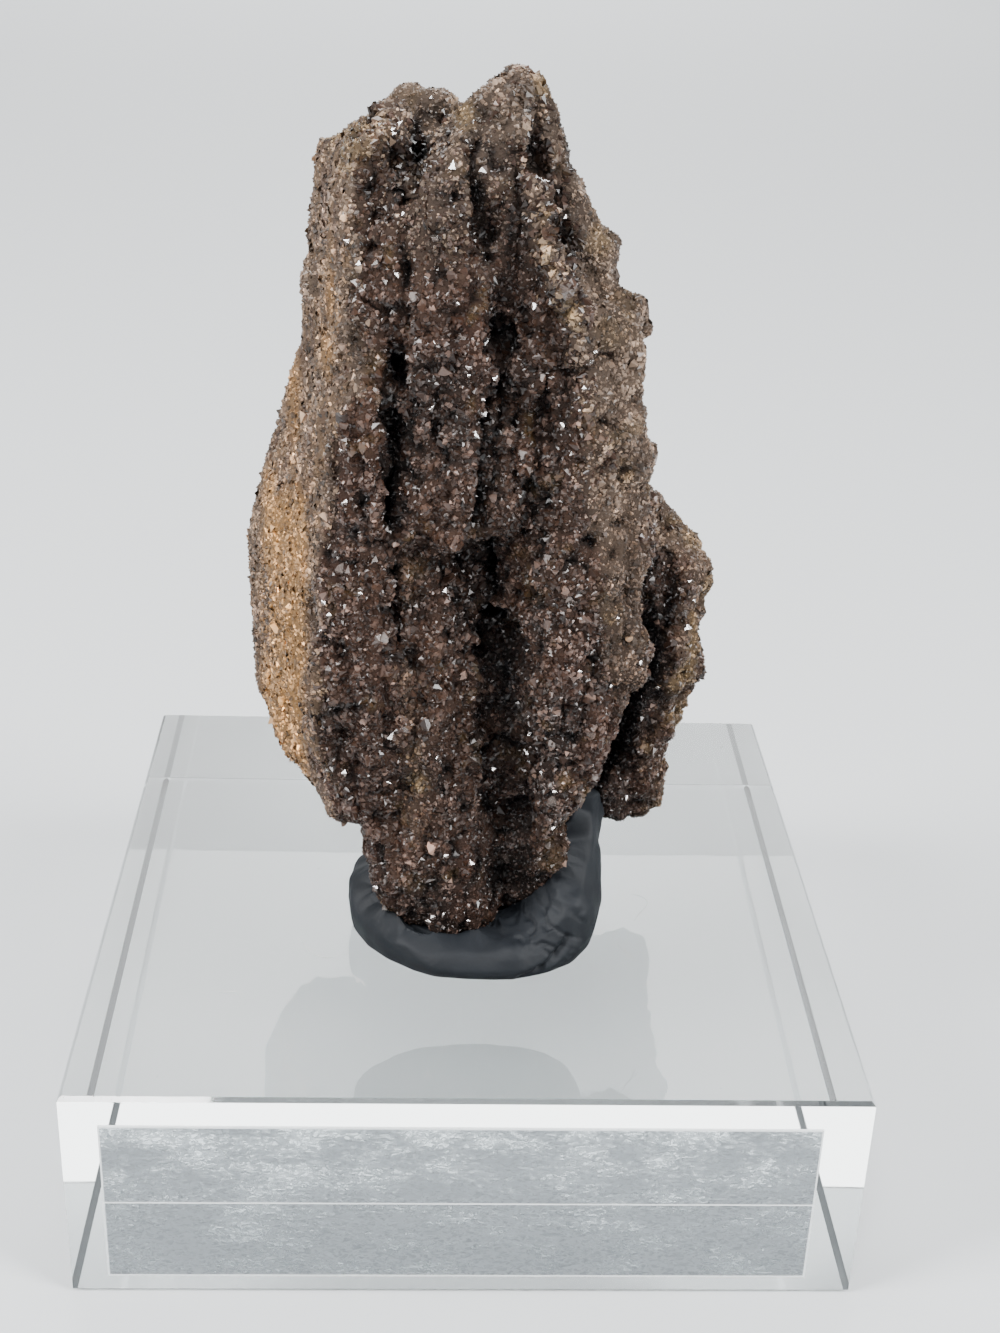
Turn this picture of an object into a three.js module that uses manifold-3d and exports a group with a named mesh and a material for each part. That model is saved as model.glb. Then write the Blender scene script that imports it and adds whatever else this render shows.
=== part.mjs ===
// Druzy petrified wood, its foot set in mineral putty on a clear acrylic block with a bare label.
// Millimetres, +Z up. The origin is under the middle of the block, on the surface it stands on, and
// -Y is the side that carries the label.
import * as THREE from "three";
import { mergeVertices } from "three/addons/utils/BufferGeometryUtils.js";
import Module from "manifold-3d";

// ---- Driving dimensions -------------------------------------------------------------------------

const BLOCK_SIDE = 50;
const BLOCK_HEIGHT = 15.5;
const BLOCK_EDGE = 0.25; // polished-off arris

const LABEL_WIDTH = 44.6;
const LABEL_HEIGHT = 12; // one width of clear label tape
const LABEL_THICKNESS = 0.16;
const LABEL_BOTTOM = 1.5; // above the block's underside
const LABEL_SHIFT = -0.35; // stuck on a little left of centre

const PUTTY_DENT = 0.3; // how far finger marks go in or out

// The putty's seat clears the stone's smooth form by this much to the sides and below.
const SEAT_MARGIN = 0.9;
const SEAT_DROP = 0.4;

// How rough the stone's skin is, at three scales.
const GRAIN_RELIEF = 0.6; // flutes that run up the grain
const LUMP_RELIEF = 0.65; // swellings a few millimetres across
const CRYSTAL_RELIEF = 0.3; // facet corners that stand in or out

const COURSE = 2.3; // height of one course of facets on the stone
const FACET = 2.3; // width of one facet on the stone
const TIP_SHARE = 0.4; // share of the facets that carry a quartz tip
const TIP_HEIGHT = 0.34; // of a facet's width
const STRAY = 0.6; // of a course: how far a facet's corners stray from their course, peak to peak
const POLE_RISE = 0.3; // of a ridge's half thickness: how far its ends are domed
const POCKET_SWELL = 0.5; // how uneven the pockets are

const wasm = await Module();
wasm.setup();

// ---- Noise --------------------------------------------------------------------------------------

// A repeatable number from 0 to 1 for a lattice point.
function hash(x, y, z) {
  const wave = Math.sin(x * 127.1 + y * 311.7 + z * 74.7) * 43758.5453;
  return wave - Math.floor(wave);
}

// Smooth noise from -1 to 1, with features about one unit across.
function noise(x, y, z) {
  const cell = [x, y, z].map(Math.floor);
  const [u, v, w] = [x, y, z].map((c, axis) => THREE.MathUtils.smoothstep(c - cell[axis], 0, 1));
  const corner = (i, j, k) => hash(cell[0] + i, cell[1] + j, cell[2] + k);
  const edge = (j, k) => THREE.MathUtils.lerp(corner(0, j, k), corner(1, j, k), u);
  const face = (k) => THREE.MathUtils.lerp(edge(0, k), edge(1, k), v);
  return 2 * THREE.MathUtils.lerp(face(0), face(1), w) - 1;
}

// ---- Solids -------------------------------------------------------------------------------------

// A closed skin with its seam and poles welded, so that it can be reshaped and joined.
function weld(geometry) {
  geometry.deleteAttribute("normal");
  geometry.deleteAttribute("uv");
  return mergeVertices(geometry, 1e-4);
}

function toSolid(geometry) {
  return new wasm.Manifold(
    new wasm.Mesh({
      numProp: 3,
      vertProperties: geometry.attributes.position.array,
      triVerts: new Uint32Array(geometry.index.array),
    }),
  );
}

function toGeometry(solid) {
  const { vertProperties, triVerts } = solid.getMesh();
  const geometry = new THREE.BufferGeometry();
  geometry.setAttribute("position", new THREE.BufferAttribute(vertProperties, 3));
  geometry.setIndex(new THREE.BufferAttribute(triVerts, 1));
  return geometry;
}

// ---- Petrified wood -----------------------------------------------------------------------------

// The wood split along its grain into upright ridges that stayed fused side by side. Each ridge is
// a stack of oval sections, from its foot up: height above the block's top face, centre x and y,
// half width and half depth.
// `square` is the section's exponent, from 2 for an oval towards a box, `turn` twists the section
// about its centre in degrees, and `rough` scales its relief.
const RIDGES = [
  {
    name: "heartwood",
    square: 2.6,
    tips: 0.2,
    sections: [
      [1.9, 0.0, -7.2, 2.2, 2.2],
      [4, -0.8, -6.5, 4.9, 3.8],
      [7, -1.0, -5.4, 6.3, 4.6],
      [10, -0.4, -4.2, 7.0, 5.2],
      [13, -0.4, -3.0, 8.8, 5.6],
      [18, -0.6, -2.4, 10.2, 5.8],
      [27, -0.8, -2.1, 10.4, 5.9],
      [35, -0.4, -2.0, 9.0, 5.7],
      [43, -0.4, -2.4, 7.4, 5.2],
      [49, -1.2, -3.0, 6.0, 4.3],
      [52.8, -1.6, -3.6, 4.6, 3.0],
    ],
  },
  {
    name: "left flank",
    square: 4,
    turn: 24,
    rough: 0.35,
    tips: 0,
    sections: [
      [9.4, -8.0, -3.0, 2.1, 4.2],
      [11.2, -9.2, -2.9, 2.6, 5.4],
      [14.4, -10.1, -2.8, 2.7, 6.1],
      [19, -10.8, -2.6, 2.7, 6.4],
      [25, -11.0, -2.5, 2.7, 6.6],
      [29, -10.3, -2.6, 2.7, 6.3],
      [35, -8.7, -2.8, 2.5, 5.7],
      [41, -7.7, -3.0, 2.4, 5.1],
      [47, -7.1, -3.2, 2.4, 4.8],
      [51, -7.1, -3.4, 2.3, 4.5],
      [52.4, -7.1, -3.6, 2.1, 4.1],
    ],
  },
  {
    name: "left ridge, lower",
    square: 2.6,
    sections: [
      [9.4, -6.4, -6.2, 1.8, 2.6],
      [11, -7.0, -6.6, 2.6, 3.6],
      [15, -7.7, -7.1, 2.8, 4.0],
      [21, -7.9, -7.5, 2.7, 4.1],
      [27, -7.8, -7.6, 2.6, 4.0],
      [33, -7.4, -7.5, 2.4, 3.8],
      [38, -7.1, -7.3, 2.1, 3.5],
      [40.6, -7.0, -6.9, 1.5, 2.7],
    ],
  },
  {
    name: "left ridge, upper",
    square: 3,
    sections: [
      [35, -6.8, -5.4, 1.8, 2.8],
      [40, -6.9, -5.9, 2.2, 3.2],
      [46, -6.8, -6.1, 2.1, 3.2],
      [50, -6.7, -5.9, 2.0, 3.0],
      [52.6, -6.5, -5.4, 1.6, 2.5],
    ],
  },
  {
    name: "middle ridge",
    square: 2.8,
    sections: [
      [30.2, -2.9, -7.8, 2.1, 2.8],
      [31.4, -2.7, -8.1, 2.4, 3.1],
      [37, -2.4, -8.2, 2.5, 3.3],
      [43, -2.4, -8.0, 2.4, 3.3],
      [49, -2.3, -7.4, 2.3, 3.1],
      [53, -1.8, -6.8, 2.2, 2.9],
      [54.6, -1.1, -6.3, 2.0, 2.5],
      [56, -0.2, -5.8, 1.6, 2.0],
      [57, 0.5, -5.5, 0.9, 1.2],
    ],
  },
  {
    name: "lower middle ridge",
    square: 2.4,
    sections: [
      [2.0, -1.2, -8.2, 2.8, 2.2],
      [3.6, -1.6, -8.1, 3.9, 2.8],
      [7, -2.3, -7.8, 4.2, 3.3],
      [11, -2.3, -7.5, 3.5, 3.4],
      [17, -2.2, -7.2, 3.0, 3.4],
      [23, -2.2, -6.9, 2.7, 3.1],
      [28, -2.4, -6.5, 2.4, 2.7],
      [30.8, -2.7, -6.3, 1.8, 2.2],
    ],
  },
  {
    name: "summit ridge",
    sections: [
      [35, 2.2, -5.0, 0.9, 1.6],
      [41, 1.8, -6.0, 1.7, 2.7],
      [47, 1.6, -6.6, 2.0, 3.1],
      [52, 1.5, -6.4, 2.2, 3.0],
      [55, 1.6, -5.9, 2.1, 2.6],
      [56.6, 1.8, -5.5, 1.9, 2.1],
      [57.5, 2.0, -5.2, 1.3, 1.5],
    ],
  },
  {
    name: "knobbly crest",
    rough: 1.3,
    sections: [
      [37, 5.0, -7.6, 0.8, 1.8],
      [42, 4.8, -8.0, 1.3, 2.2],
      [47, 4.2, -8.0, 1.2, 2.1],
      [50.4, 3.4, -7.5, 0.9, 1.7],
      [53, 3.0, -6.9, 0.5, 1.2],
    ],
  },
  {
    name: "right ridge",
    square: 2.8,
    turn: 16,
    sections: [
      [8.8, 4.4, -5.8, 1.8, 2.4],
      [10.6, 5.2, -6.1, 2.8, 3.2],
      [14, 5.9, -6.2, 3.8, 4.0],
      [20, 6.3, -6.3, 4.3, 4.5],
      [27, 6.3, -6.3, 4.2, 4.6],
      [33, 6.2, -6.3, 3.9, 4.5],
      [39, 6.0, -6.2, 3.6, 4.3],
      [43, 6.3, -6.0, 3.1, 4.0],
      [44.6, 6.5, -5.9, 2.8, 3.6],
    ],
  },
  {
    name: "right shoulder",
    square: 2.6,
    sections: [
      [33, 6.4, -1.6, 2.0, 2.6],
      [39, 5.6, -2.6, 3.0, 3.8],
      [45, 5.0, -3.6, 2.9, 3.9],
      [47.2, 5.0, -4.0, 2.6, 3.6],
      [49, 4.1, -4.0, 2.1, 3.4],
      [51.4, 3.4, -4.2, 1.9, 3.1],
      [54.4, 2.9, -4.4, 1.6, 2.7],
      [56, 2.6, -4.6, 1.2, 2.1],
      [57, 2.3, -4.8, 0.8, 1.3],
    ],
  },
  {
    name: "right slab",
    square: 2.6,
    turn: -12,
    rough: 1.15,
    sections: [
      [6.6, 10.6, 0.2, 2.5, 2.2],
      [8, 10.8, 0.2, 3.1, 2.9],
      [12, 10.8, 0.2, 3.2, 3.4],
      [16, 11.6, 0.1, 3.4, 3.7],
      [21, 12.0, 0.0, 3.4, 3.8],
      [25, 11.8, 0.0, 3.0, 3.5],
      [28.4, 11.3, 0.1, 2.2, 2.7],
      [30.2, 11.1, 0.2, 1.4, 1.7],
    ],
  },
  {
    name: "foot lobe",
    sections: [
      [4.6, 4.0, -7.4, 1.0, 1.2],
      [6, 4.4, -7.4, 1.6, 1.8],
      [9, 4.8, -7.2, 1.7, 2.4],
      [13, 5.0, -6.8, 1.8, 2.6],
      [16, 5.2, -6.2, 1.2, 1.8],
    ],
  },
  {
    name: "back knuckle",
    sections: [
      [33, -3.8, 1.2, 2.4, 2.4],
      [41, -3.8, 1.8, 3.0, 3.2],
      [49, -3.6, 2.2, 2.8, 2.9],
      [52.6, -3.5, 2.4, 2.5, 2.5],
      [54.8, -3.5, 2.4, 1.6, 1.6],
    ],
  },
  {
    name: "back ridge, left",
    tips: 0.25,
    sections: [
      [11, -6.4, 0.4, 1.8, 2.0],
      [18, -8.0, 1.8, 3.0, 3.0],
      [29, -7.6, 2.2, 3.2, 3.2],
      [39, -6.4, 1.6, 2.6, 2.8],
      [46, -5.8, 0.6, 1.4, 1.6],
    ],
  },
  {
    name: "back ridge, middle",
    tips: 0.25,
    sections: [
      [6, -0.8, -2.2, 2.4, 2.0],
      [15, -1.0, 1.2, 3.4, 3.0],
      [27, -1.2, 2.6, 3.6, 3.2],
      [39, -0.4, 2.2, 3.2, 2.8],
      [49, 0.8, 0.2, 2.2, 2.2],
      [53, 1.2, -1.8, 1.2, 1.4],
    ],
  },
  {
    name: "back ridge, right",
    tips: 0.25,
    sections: [
      [8, 4.6, -1.6, 1.8, 1.8],
      [17, 5.8, 1.2, 3.2, 3.0],
      [27, 6.2, 2.2, 3.3, 3.0],
      [35, 5.8, 1.8, 2.8, 2.8],
      [42, 5.2, 0.6, 1.6, 1.8],
    ],
  },
];

// Where the ridges stand apart, pockets and slots run back between them: centre and radii.
const POCKETS = [
  { name: "notch under the left top", centre: [-4.4, -8.2, 53.6], radii: [1.0, 4.2, 2.9] },
  { name: "eye between the ridges", centre: [-5.2, -9.0, 42.3], radii: [0.8, 5.2, 1.3] },
  { name: "slot below the eye", centre: [-5.4, -9.4, 36.4], radii: [0.5, 5.0, 3.0] },
  { name: "gap under the middle ledge", centre: [-4.6, -9.4, 30.2], radii: [1.0, 3.8, 0.8] },
  { name: "crevice beside the middle ridge", centre: [0.4, -10.2, 41], radii: [0.6, 4.0, 6.4] },
  { name: "hollow at mid height", centre: [0.9, -9.8, 27.6], radii: [1.0, 4.4, 5.8] },
  { name: "slot low on the left", centre: [-5.2, -9.6, 25.2], radii: [0.5, 4.0, 3.0] },
  { name: "crevice under the summit", centre: [3.2, -8.4, 52.2], radii: [0.5, 3.2, 3.0] },
];

// What the sections come to at height z, as [x, y, half width, half depth].
function sectionsOf(table) {
  const heights = table.map(([z]) => z);
  const values = table.flatMap(([, ...section]) => section);
  const curve = new THREE.CubicInterpolant(heights, values, 4);
  return (z) => [...curve.evaluate(z)];
}

// Wraps a sphere's skin round a stack of sections: its latitudes become courses and its longitudes
// the outline. Each course starts half a facet further round, so that the facets are even.
// `relief` says how far the skin stands out at a point.
function loft(table, { square, turn = 0, sides, courses, relief }) {
  const sectionAt = sectionsOf(table);
  const foot = table[0][0];
  const top = table[table.length - 1][0];
  const twist = THREE.MathUtils.degToRad(turn);
  const skin = weld(new THREE.SphereGeometry(1, sides, courses));
  const place = skin.attributes.position;
  for (let i = 0; i < place.count; i++) {
    const course = Math.round((Math.acos(THREE.MathUtils.clamp(place.getY(i), -1, 1)) / Math.PI) * courses);
    const pole = course === 0 || course === courses;
    const z = THREE.MathUtils.lerp(top, foot, THREE.MathUtils.clamp((course - 1) / (courses - 2), 0, 1));
    const [x, y, a, b] = sectionAt(z);
    if (pole) {
      place.setXYZ(i, x, y, z + (course === 0 ? POLE_RISE : -POLE_RISE) * Math.min(a, b));
      continue;
    }
    const stray = [hash(z, i, sides) - 0.5, hash(i, z, courses) - 0.5];
    const angle = Math.atan2(place.getZ(i), place.getX(i)) + (Math.PI / sides) * (course + stray[0]);
    const [c, s] = [Math.cos(angle), -Math.sin(angle)];
    const reach = (Math.abs(c) ** square + Math.abs(s) ** square) ** (-1 / square);
    const out = new THREE.Vector2(a * reach * c, b * reach * s).rotateAround(new THREE.Vector2(), twist);
    out.setLength(out.length() + relief(x + out.x, y + out.y, z) * Math.min(1, a / 1.5));
    place.setXYZ(i, x + out.x, y + out.y, z + STRAY * COURSE * stray[1]);
  }
  return skin;
}

// Raises a three-faced quartz tip on a share of the facets.
function growTips(skin, share) {
  const place = skin.attributes.position;
  const corners = [...place.array];
  const faces = [];
  const facet = new THREE.Triangle();
  const [middle, normal] = [new THREE.Vector3(), new THREE.Vector3()];
  for (let i = 0; i < skin.index.count; i += 3) {
    const [a, b, c] = [0, 1, 2].map((k) => skin.index.getX(i + k));
    facet.setFromAttributeAndIndices(place, a, b, c);
    facet.getMidpoint(middle);
    facet.getNormal(normal);
    if (hash(middle.x, middle.y, middle.z) > share) {
      faces.push(a, b, c);
      continue;
    }
    const height = TIP_HEIGHT * Math.sqrt(facet.getArea()) * (0.5 + hash(middle.z, middle.x, middle.y));
    middle.addScaledVector(normal, height);
    const tip = corners.length / 3;
    corners.push(middle.x, middle.y, middle.z);
    faces.push(a, b, tip, b, c, tip, c, a, tip);
  }
  const geometry = new THREE.BufferGeometry();
  geometry.setAttribute("position", new THREE.Float32BufferAttribute(corners, 3));
  geometry.setIndex(faces);
  return geometry;
}

// With a margin, the solid is the ridge's smooth form grown by that much.
function ridgeSolid({ sections, square = 2.2, turn = 0, rough = 1, tips = TIP_SHARE }, seed, margin) {
  const girth = Math.max(...sections.map(([, , , a, b]) => Math.PI * (a + b)));
  const height = sections[sections.length - 1][0] - sections[0][0];
  const relief = (x, y, z) => {
    if (margin) return margin;
    const grain = GRAIN_RELIEF * noise(x / 1.6 + seed, y / 1.6, z / 16);
    const lump = LUMP_RELIEF * noise(x / 3.2, y / 3.2 + seed, z / 4);
    const crystal = CRYSTAL_RELIEF * (2 * hash(x, y, z) - 1);
    return rough * (grain + lump + crystal);
  };
  const skin = loft(sections, {
    square,
    turn,
    sides: Math.max(8, Math.round(girth / FACET)),
    courses: Math.max(6, Math.round(height / COURSE) + 2),
    relief,
  });
  return toSolid(margin ? skin : growTips(skin, tips));
}

function pocketSolid({ centre, radii }) {
  const skin = weld(new THREE.SphereGeometry(1, 10, 10));
  const place = skin.attributes.position;
  for (let i = 0; i < place.count; i++) {
    const [x, y, z] = [place.getX(i), place.getY(i), place.getZ(i)];
    const swell = 1 + POCKET_SWELL * noise(x * 3 + centre[0], y * 3, z * 3 + centre[2]);
    place.setXYZ(
      i,
      centre[0] + x * radii[0] * swell,
      centre[1] + y * radii[1],
      centre[2] + z * radii[2] * swell,
    );
  }
  return toSolid(skin);
}

// The outermost skin alone, which leaves out any void shut in between the ridges.
function outerSkin(solid) {
  return solid.decompose().reduce((outer, skin) => (skin.volume() > outer.volume() ? skin : outer));
}

function fuseRidges(margin) {
  const ridges = RIDGES.map((ridge, index) => ridgeSolid(ridge, 10 * index, margin));
  return ridges.reduce((stone, ridge) => stone.add(ridge));
}

const stoneSolid = outerSkin(
  POCKETS.map(pocketSolid).reduce((stone, pocket) => stone.subtract(pocket), fuseRidges()),
);

// ---- Mineral putty ------------------------------------------------------------------------------

// A wad pressed on the block with a thumb. Round it, from the right (+X) by the back, at each
// bearing in degrees: how far its side stands from the middle, and how high its rim is.
const PUTTY_MIDDLE = [0.6, -5.6];
const PUTTY_RIM = [
  [0, 8.7, 9.6],
  [25, 9.0, 9.8],
  [60, 7.2, 8.4],
  [100, 6.4, 6.2],
  [140, 7.6, 5.4],
  [175, 8.9, 4.9],
  [210, 8.6, 4.2],
  [240, 7.9, 2.7],
  [270, 7.5, 2.1],
  [300, 8.2, 3.0],
  [330, 8.9, 5.4],
  [360, 8.7, 9.6],
];
// The wad's profile from the middle of its underside to the middle of its top: share of the reach,
// share of the rim's height.
const PUTTY_PROFILE = [
  [0, 0],
  [0.5, 0],
  [0.9, 0],
  [0.97, 0.12],
  [1, 0.4],
  [0.98, 0.72],
  [0.9, 0.93],
  [0.76, 1],
  [0.5, 0.8],
  [0, 0.6],
];

function puttySolid() {
  const bearings = PUTTY_RIM.map(([bearing]) => bearing);
  const rim = new THREE.CubicInterpolant(bearings, PUTTY_RIM.flatMap(([, ...rest]) => rest), 2);
  const profile = PUTTY_PROFILE.map(([reach, height]) => new THREE.Vector2(reach, height));
  const skin = weld(new THREE.LatheGeometry(profile, 26));
  const place = skin.attributes.position;
  for (let i = 0; i < place.count; i++) {
    const share = Math.hypot(place.getX(i), place.getZ(i));
    const angle = Math.atan2(place.getX(i), place.getZ(i));
    const bearing = THREE.MathUtils.euclideanModulo(THREE.MathUtils.radToDeg(angle), 360);
    const [reach, height] = rim.evaluate(bearing);
    const dent = PUTTY_DENT * noise(3 * Math.cos(angle), 3 * Math.sin(angle), 4 * place.getY(i));
    place.setXYZ(
      i,
      PUTTY_MIDDLE[0] + (reach + dent) * share * Math.cos(angle),
      PUTTY_MIDDLE[1] + (reach + dent) * share * Math.sin(angle),
      height * place.getY(i),
    );
  }
  return toSolid(skin);
}

// What the putty is pressed round: the stone's smooth form, wide enough to clear its crystals.
function footMould() {
  const mould = fuseRidges(SEAT_MARGIN);
  return mould.add(mould.translate([0, 0, -SEAT_DROP]));
}

// ---- Block and label ----------------------------------------------------------------------------

function blockGeometry() {
  const half = BLOCK_SIDE / 2 - BLOCK_EDGE;
  const outline = new THREE.Shape([
    new THREE.Vector2(-half, -half),
    new THREE.Vector2(half, -half),
    new THREE.Vector2(half, half),
    new THREE.Vector2(-half, half),
  ]);
  const block = new THREE.ExtrudeGeometry(outline, {
    depth: BLOCK_HEIGHT - 2 * BLOCK_EDGE,
    bevelThickness: BLOCK_EDGE,
    bevelSize: BLOCK_EDGE,
    bevelSegments: 1,
  });
  return block.translate(0, 0, BLOCK_EDGE);
}

function labelGeometry() {
  return new THREE.BoxGeometry(LABEL_WIDTH, LABEL_THICKNESS, LABEL_HEIGHT);
}

// ---- Assembly -----------------------------------------------------------------------------------

const acrylic = new THREE.MeshStandardMaterial({
  color: 0xe9eef0,
  roughness: 0.04,
  metalness: 0,
  transparent: true,
  opacity: 0.35,
});
const film = new THREE.MeshStandardMaterial({ color: 0xb9bfc2, roughness: 0.5, metalness: 0 });
const druse = new THREE.MeshStandardMaterial({ color: 0x5d4a40, roughness: 0.45, metalness: 0 });
const tack = new THREE.MeshStandardMaterial({ color: 0x2e3336, roughness: 0.8, metalness: 0 });

function piece(name, geometry, material) {
  const mesh = new THREE.Mesh(geometry, material);
  mesh.name = name;
  return mesh;
}

const label = piece("label", labelGeometry(), film);
label.position.set(
  LABEL_SHIFT,
  -BLOCK_SIDE / 2 - LABEL_THICKNESS / 2,
  LABEL_BOTTOM + LABEL_HEIGHT / 2,
);

const mounted = new THREE.Group();
mounted.add(
  piece("mounting_putty", toGeometry(puttySolid().subtract(footMould())), tack),
  piece("petrified_wood", toGeometry(stoneSolid), druse),
);
mounted.position.z = BLOCK_HEIGHT;

const specimen = new THREE.Group();
specimen.add(piece("acrylic_block", blockGeometry(), acrylic), label, mounted);

// The label stands proud of one side, so the whole is set back by half of it to centre it.
specimen.position.y = LABEL_THICKNESS / 2;

export default specimen;
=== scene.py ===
# Druzy petrified wood, its foot set in mineral putty on a clear acrylic block with a bare label.
# The scene is in metres, +Z up, and -Y is the side with the label. Shapes are worked out in
# millimetres and brought to metres when their mesh is made.
import math

import bpy
import numpy as np
from mathutils import Matrix, Vector
from mathutils.bvhtree import BVHTree


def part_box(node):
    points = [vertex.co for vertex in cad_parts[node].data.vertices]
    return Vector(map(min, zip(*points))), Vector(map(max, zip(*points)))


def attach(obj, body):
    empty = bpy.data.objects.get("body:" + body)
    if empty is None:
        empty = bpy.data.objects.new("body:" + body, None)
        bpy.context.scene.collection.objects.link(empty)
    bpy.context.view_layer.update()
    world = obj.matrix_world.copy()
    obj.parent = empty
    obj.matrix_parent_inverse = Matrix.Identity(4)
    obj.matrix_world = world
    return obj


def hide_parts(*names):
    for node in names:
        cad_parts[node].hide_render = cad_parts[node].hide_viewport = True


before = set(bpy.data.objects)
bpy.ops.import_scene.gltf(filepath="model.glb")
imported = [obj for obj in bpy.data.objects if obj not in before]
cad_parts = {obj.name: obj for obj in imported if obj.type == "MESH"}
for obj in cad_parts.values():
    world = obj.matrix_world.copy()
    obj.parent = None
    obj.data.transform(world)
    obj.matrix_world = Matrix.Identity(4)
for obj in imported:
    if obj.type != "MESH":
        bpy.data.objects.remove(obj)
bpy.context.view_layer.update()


# ---- Acrylic block ------------------------------------------------------------------------------
# A slab of clear cast acrylic, 15.5 mm thick, sawn square and flame- and buff-polished on all six
# faces, with a narrow arris on each edge. It stands loose on the floor.

MM = 0.001


def linear(code):
    """An sRGB hex colour, such as "#8a6238", as the linear colour that a socket takes."""
    channels = [int(code[i : i + 2], 16) / 255 for i in (1, 3, 5)]
    return (*(c / 12.92 if c <= 0.04045 else ((c + 0.055) / 1.055) ** 2.4 for c in channels), 1)


def add(tree, kind, inputs=None, **settings):
    """Adds a node, with its settings, and each input set to a value or linked to an output."""
    made = tree.nodes.new("ShaderNode" + kind)
    for name, value in settings.items():
        setattr(made, name, value)
    for name, value in (inputs or {}).items():
        if isinstance(value, bpy.types.NodeSocket):
            tree.links.new(value, made.inputs[name])
        else:
            made.inputs[name].default_value = value
    return made


def new_material(name):
    """An empty node material, with its tree and its object coordinates in metres."""
    material = bpy.data.materials.new(name)
    material.use_nodes = True
    tree = material.node_tree
    tree.nodes.clear()
    place = add(tree, "TexCoord").outputs["Object"]
    return material, tree, place


def per(size_mm):
    """The texture scale that makes a pattern's features this many millimetres across."""
    return 1 / (size_mm * MM)


# Cast acrylic: water-clear and colourless, with its thumb marks and fine buffing haze showing only
# as a slight unevenness of its reflections.
acrylic, tree, place = new_material("cast acrylic, polished")
haze = add(tree, "TexNoise", {"Vector": place, "Scale": per(6), "Detail": 4.0})
buffed = add(tree, "MapRange", {"Value": haze.outputs["Fac"], "From Min": 0.42, "From Max": 0.75,
                                "To Min": 0.0, "To Max": 0.07})
body = add(tree, "BsdfPrincipled", {"Base Color": linear("#fbfdfd"), "Roughness": buffed.outputs["Result"],
                                    "IOR": 1.49, "Transmission Weight": 1.0})
depth = add(tree, "VolumeAbsorption", {"Color": linear("#d9ebe8"), "Density": 3.0})
add(tree, "OutputMaterial", {"Surface": body.outputs["BSDF"], "Volume": depth.outputs["Volume"]})

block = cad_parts["acrylic_block"]
block.data.materials.clear()
block.data.materials.append(acrylic)
block_low, block_high = (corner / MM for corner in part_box("acrylic_block"))


# ---- Dust and lint ------------------------------------------------------------------------------
# What has settled on the block's top: pale specks of dust and a few curled hairs of lint. They lie
# loose, held by static.

DUST_COUNT = 150
SMALLEST_SPECK, SPECK_SPREAD = 0.035, 0.09
BARE_EDGE = 1  # no speck lies nearer to the block's edge
SPECK_TIPS = ((1, 0, 0), (0, 1, 0), (-1, 0, 0), (0, -1, 0), (0, 0, 1), (0, 0, -1))
# Curled hairs of lint, by where they lie on the top: middle, radius of the curl and its arc.
HAIRS = (
    ((-9.5, -7.0), 2.6, (200, 300)),
    ((11.0, -3.5), 1.9, (-70, 60)),
    ((12.0, -8.5), 1.4, (150, 250)),
    ((-16.0, -15.0), 1.1, (20, 120)),
)
HAIR_RADIUS, HAIR_STEPS = 0.028, 25


def new_object(name, data):
    """An object in the scene that shows this mesh, lamp or camera."""
    made = bpy.data.objects.new(name, data)
    bpy.context.scene.collection.objects.link(made)
    return made


def make_piece(name, corners, faces, material):
    """A flat-faced piece from corners in millimetres, riding on the one body."""
    mesh = bpy.data.meshes.new(name)
    mesh.from_pydata((np.asarray(corners) * MM).tolist(), [], faces, shade_flat=True)
    mesh.validate()
    mesh.materials.append(material)
    piece = new_object(name, mesh)
    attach(piece, "root")
    return piece


# Dust: skin flakes and lint crumbs, off-white and quite matt.
dust, tree, place = new_material("settled dust")
body = add(tree, "BsdfPrincipled", {"Base Color": linear("#dcdad4"), "Roughness": 0.9, "IOR": 1.45})
add(tree, "OutputMaterial", {"Surface": body.outputs["BSDF"]})

rng = np.random.default_rng(7)
corners, faces = [], []
for _ in range(DUST_COUNT):
    size = SMALLEST_SPECK + SPECK_SPREAD * rng.random() ** 3
    where = rng.uniform([low + BARE_EDGE for low in block_low[:2]],
                        [high - BARE_EDGE for high in block_high[:2]])
    middle = np.array([*where, block_high[2] + 0.3 * size])
    start = len(corners)
    for direction in SPECK_TIPS:
        corners.append(middle + size * np.array(direction) * rng.uniform(0.4, 1.0, 3) * (1, 1, 0.5))
    for k in range(4):
        faces.append((start + k, start + (k + 1) % 4, start + 4))
        faces.append((start + (k + 1) % 4, start + k, start + 5))
make_piece("dust", corners, faces, dust)

corners, faces = [], []
for (x, y), curl, (first, last) in HAIRS:
    arc = np.radians(np.linspace(first, last, HAIR_STEPS))
    start = len(corners)
    for k, (angle, reach) in enumerate(zip(arc, curl * (1 + 0.18 * np.sin(3 * arc)))):
        thick = HAIR_RADIUS * math.sin(math.pi * (k + 0.5) / HAIR_STEPS) ** 0.3
        for side in range(4):
            turn = side * math.pi / 2
            wide = reach + thick * math.sin(turn)
            corners.append((x + wide * math.cos(angle), y + wide * math.sin(angle),
                            block_high[2] + thick * (1 + math.cos(turn))))
        if k:
            back, here = start + 4 * (k - 1), start + 4 * k
            for side in range(4):
                after = (side + 1) % 4
                faces.append((back + side, back + after, here + after, here + side))
make_piece("lint", corners, faces, dust)


# ---- Label --------------------------------------------------------------------------------------
# One strip of clear polyester label tape with a line pressed along its middle, stuck on the front
# face and left bare. Its adhesive hasn't wetted the acrylic everywhere, so it looks mottled.

ADHESIVE = 0.02  # the hair of adhesive that keeps the tape's back clear of the acrylic
LINE_DEPTH, LINE_HALF_WIDTH = 0.03, 0.07
WHITE_HALF_WIDTH, WHITE_INSET = 0.06, 0.05  # the white lines, and how far in from a cut edge they run
TAPE_COLUMNS, TAPE_ROWS = 61, 25  # of mesh corners

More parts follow.
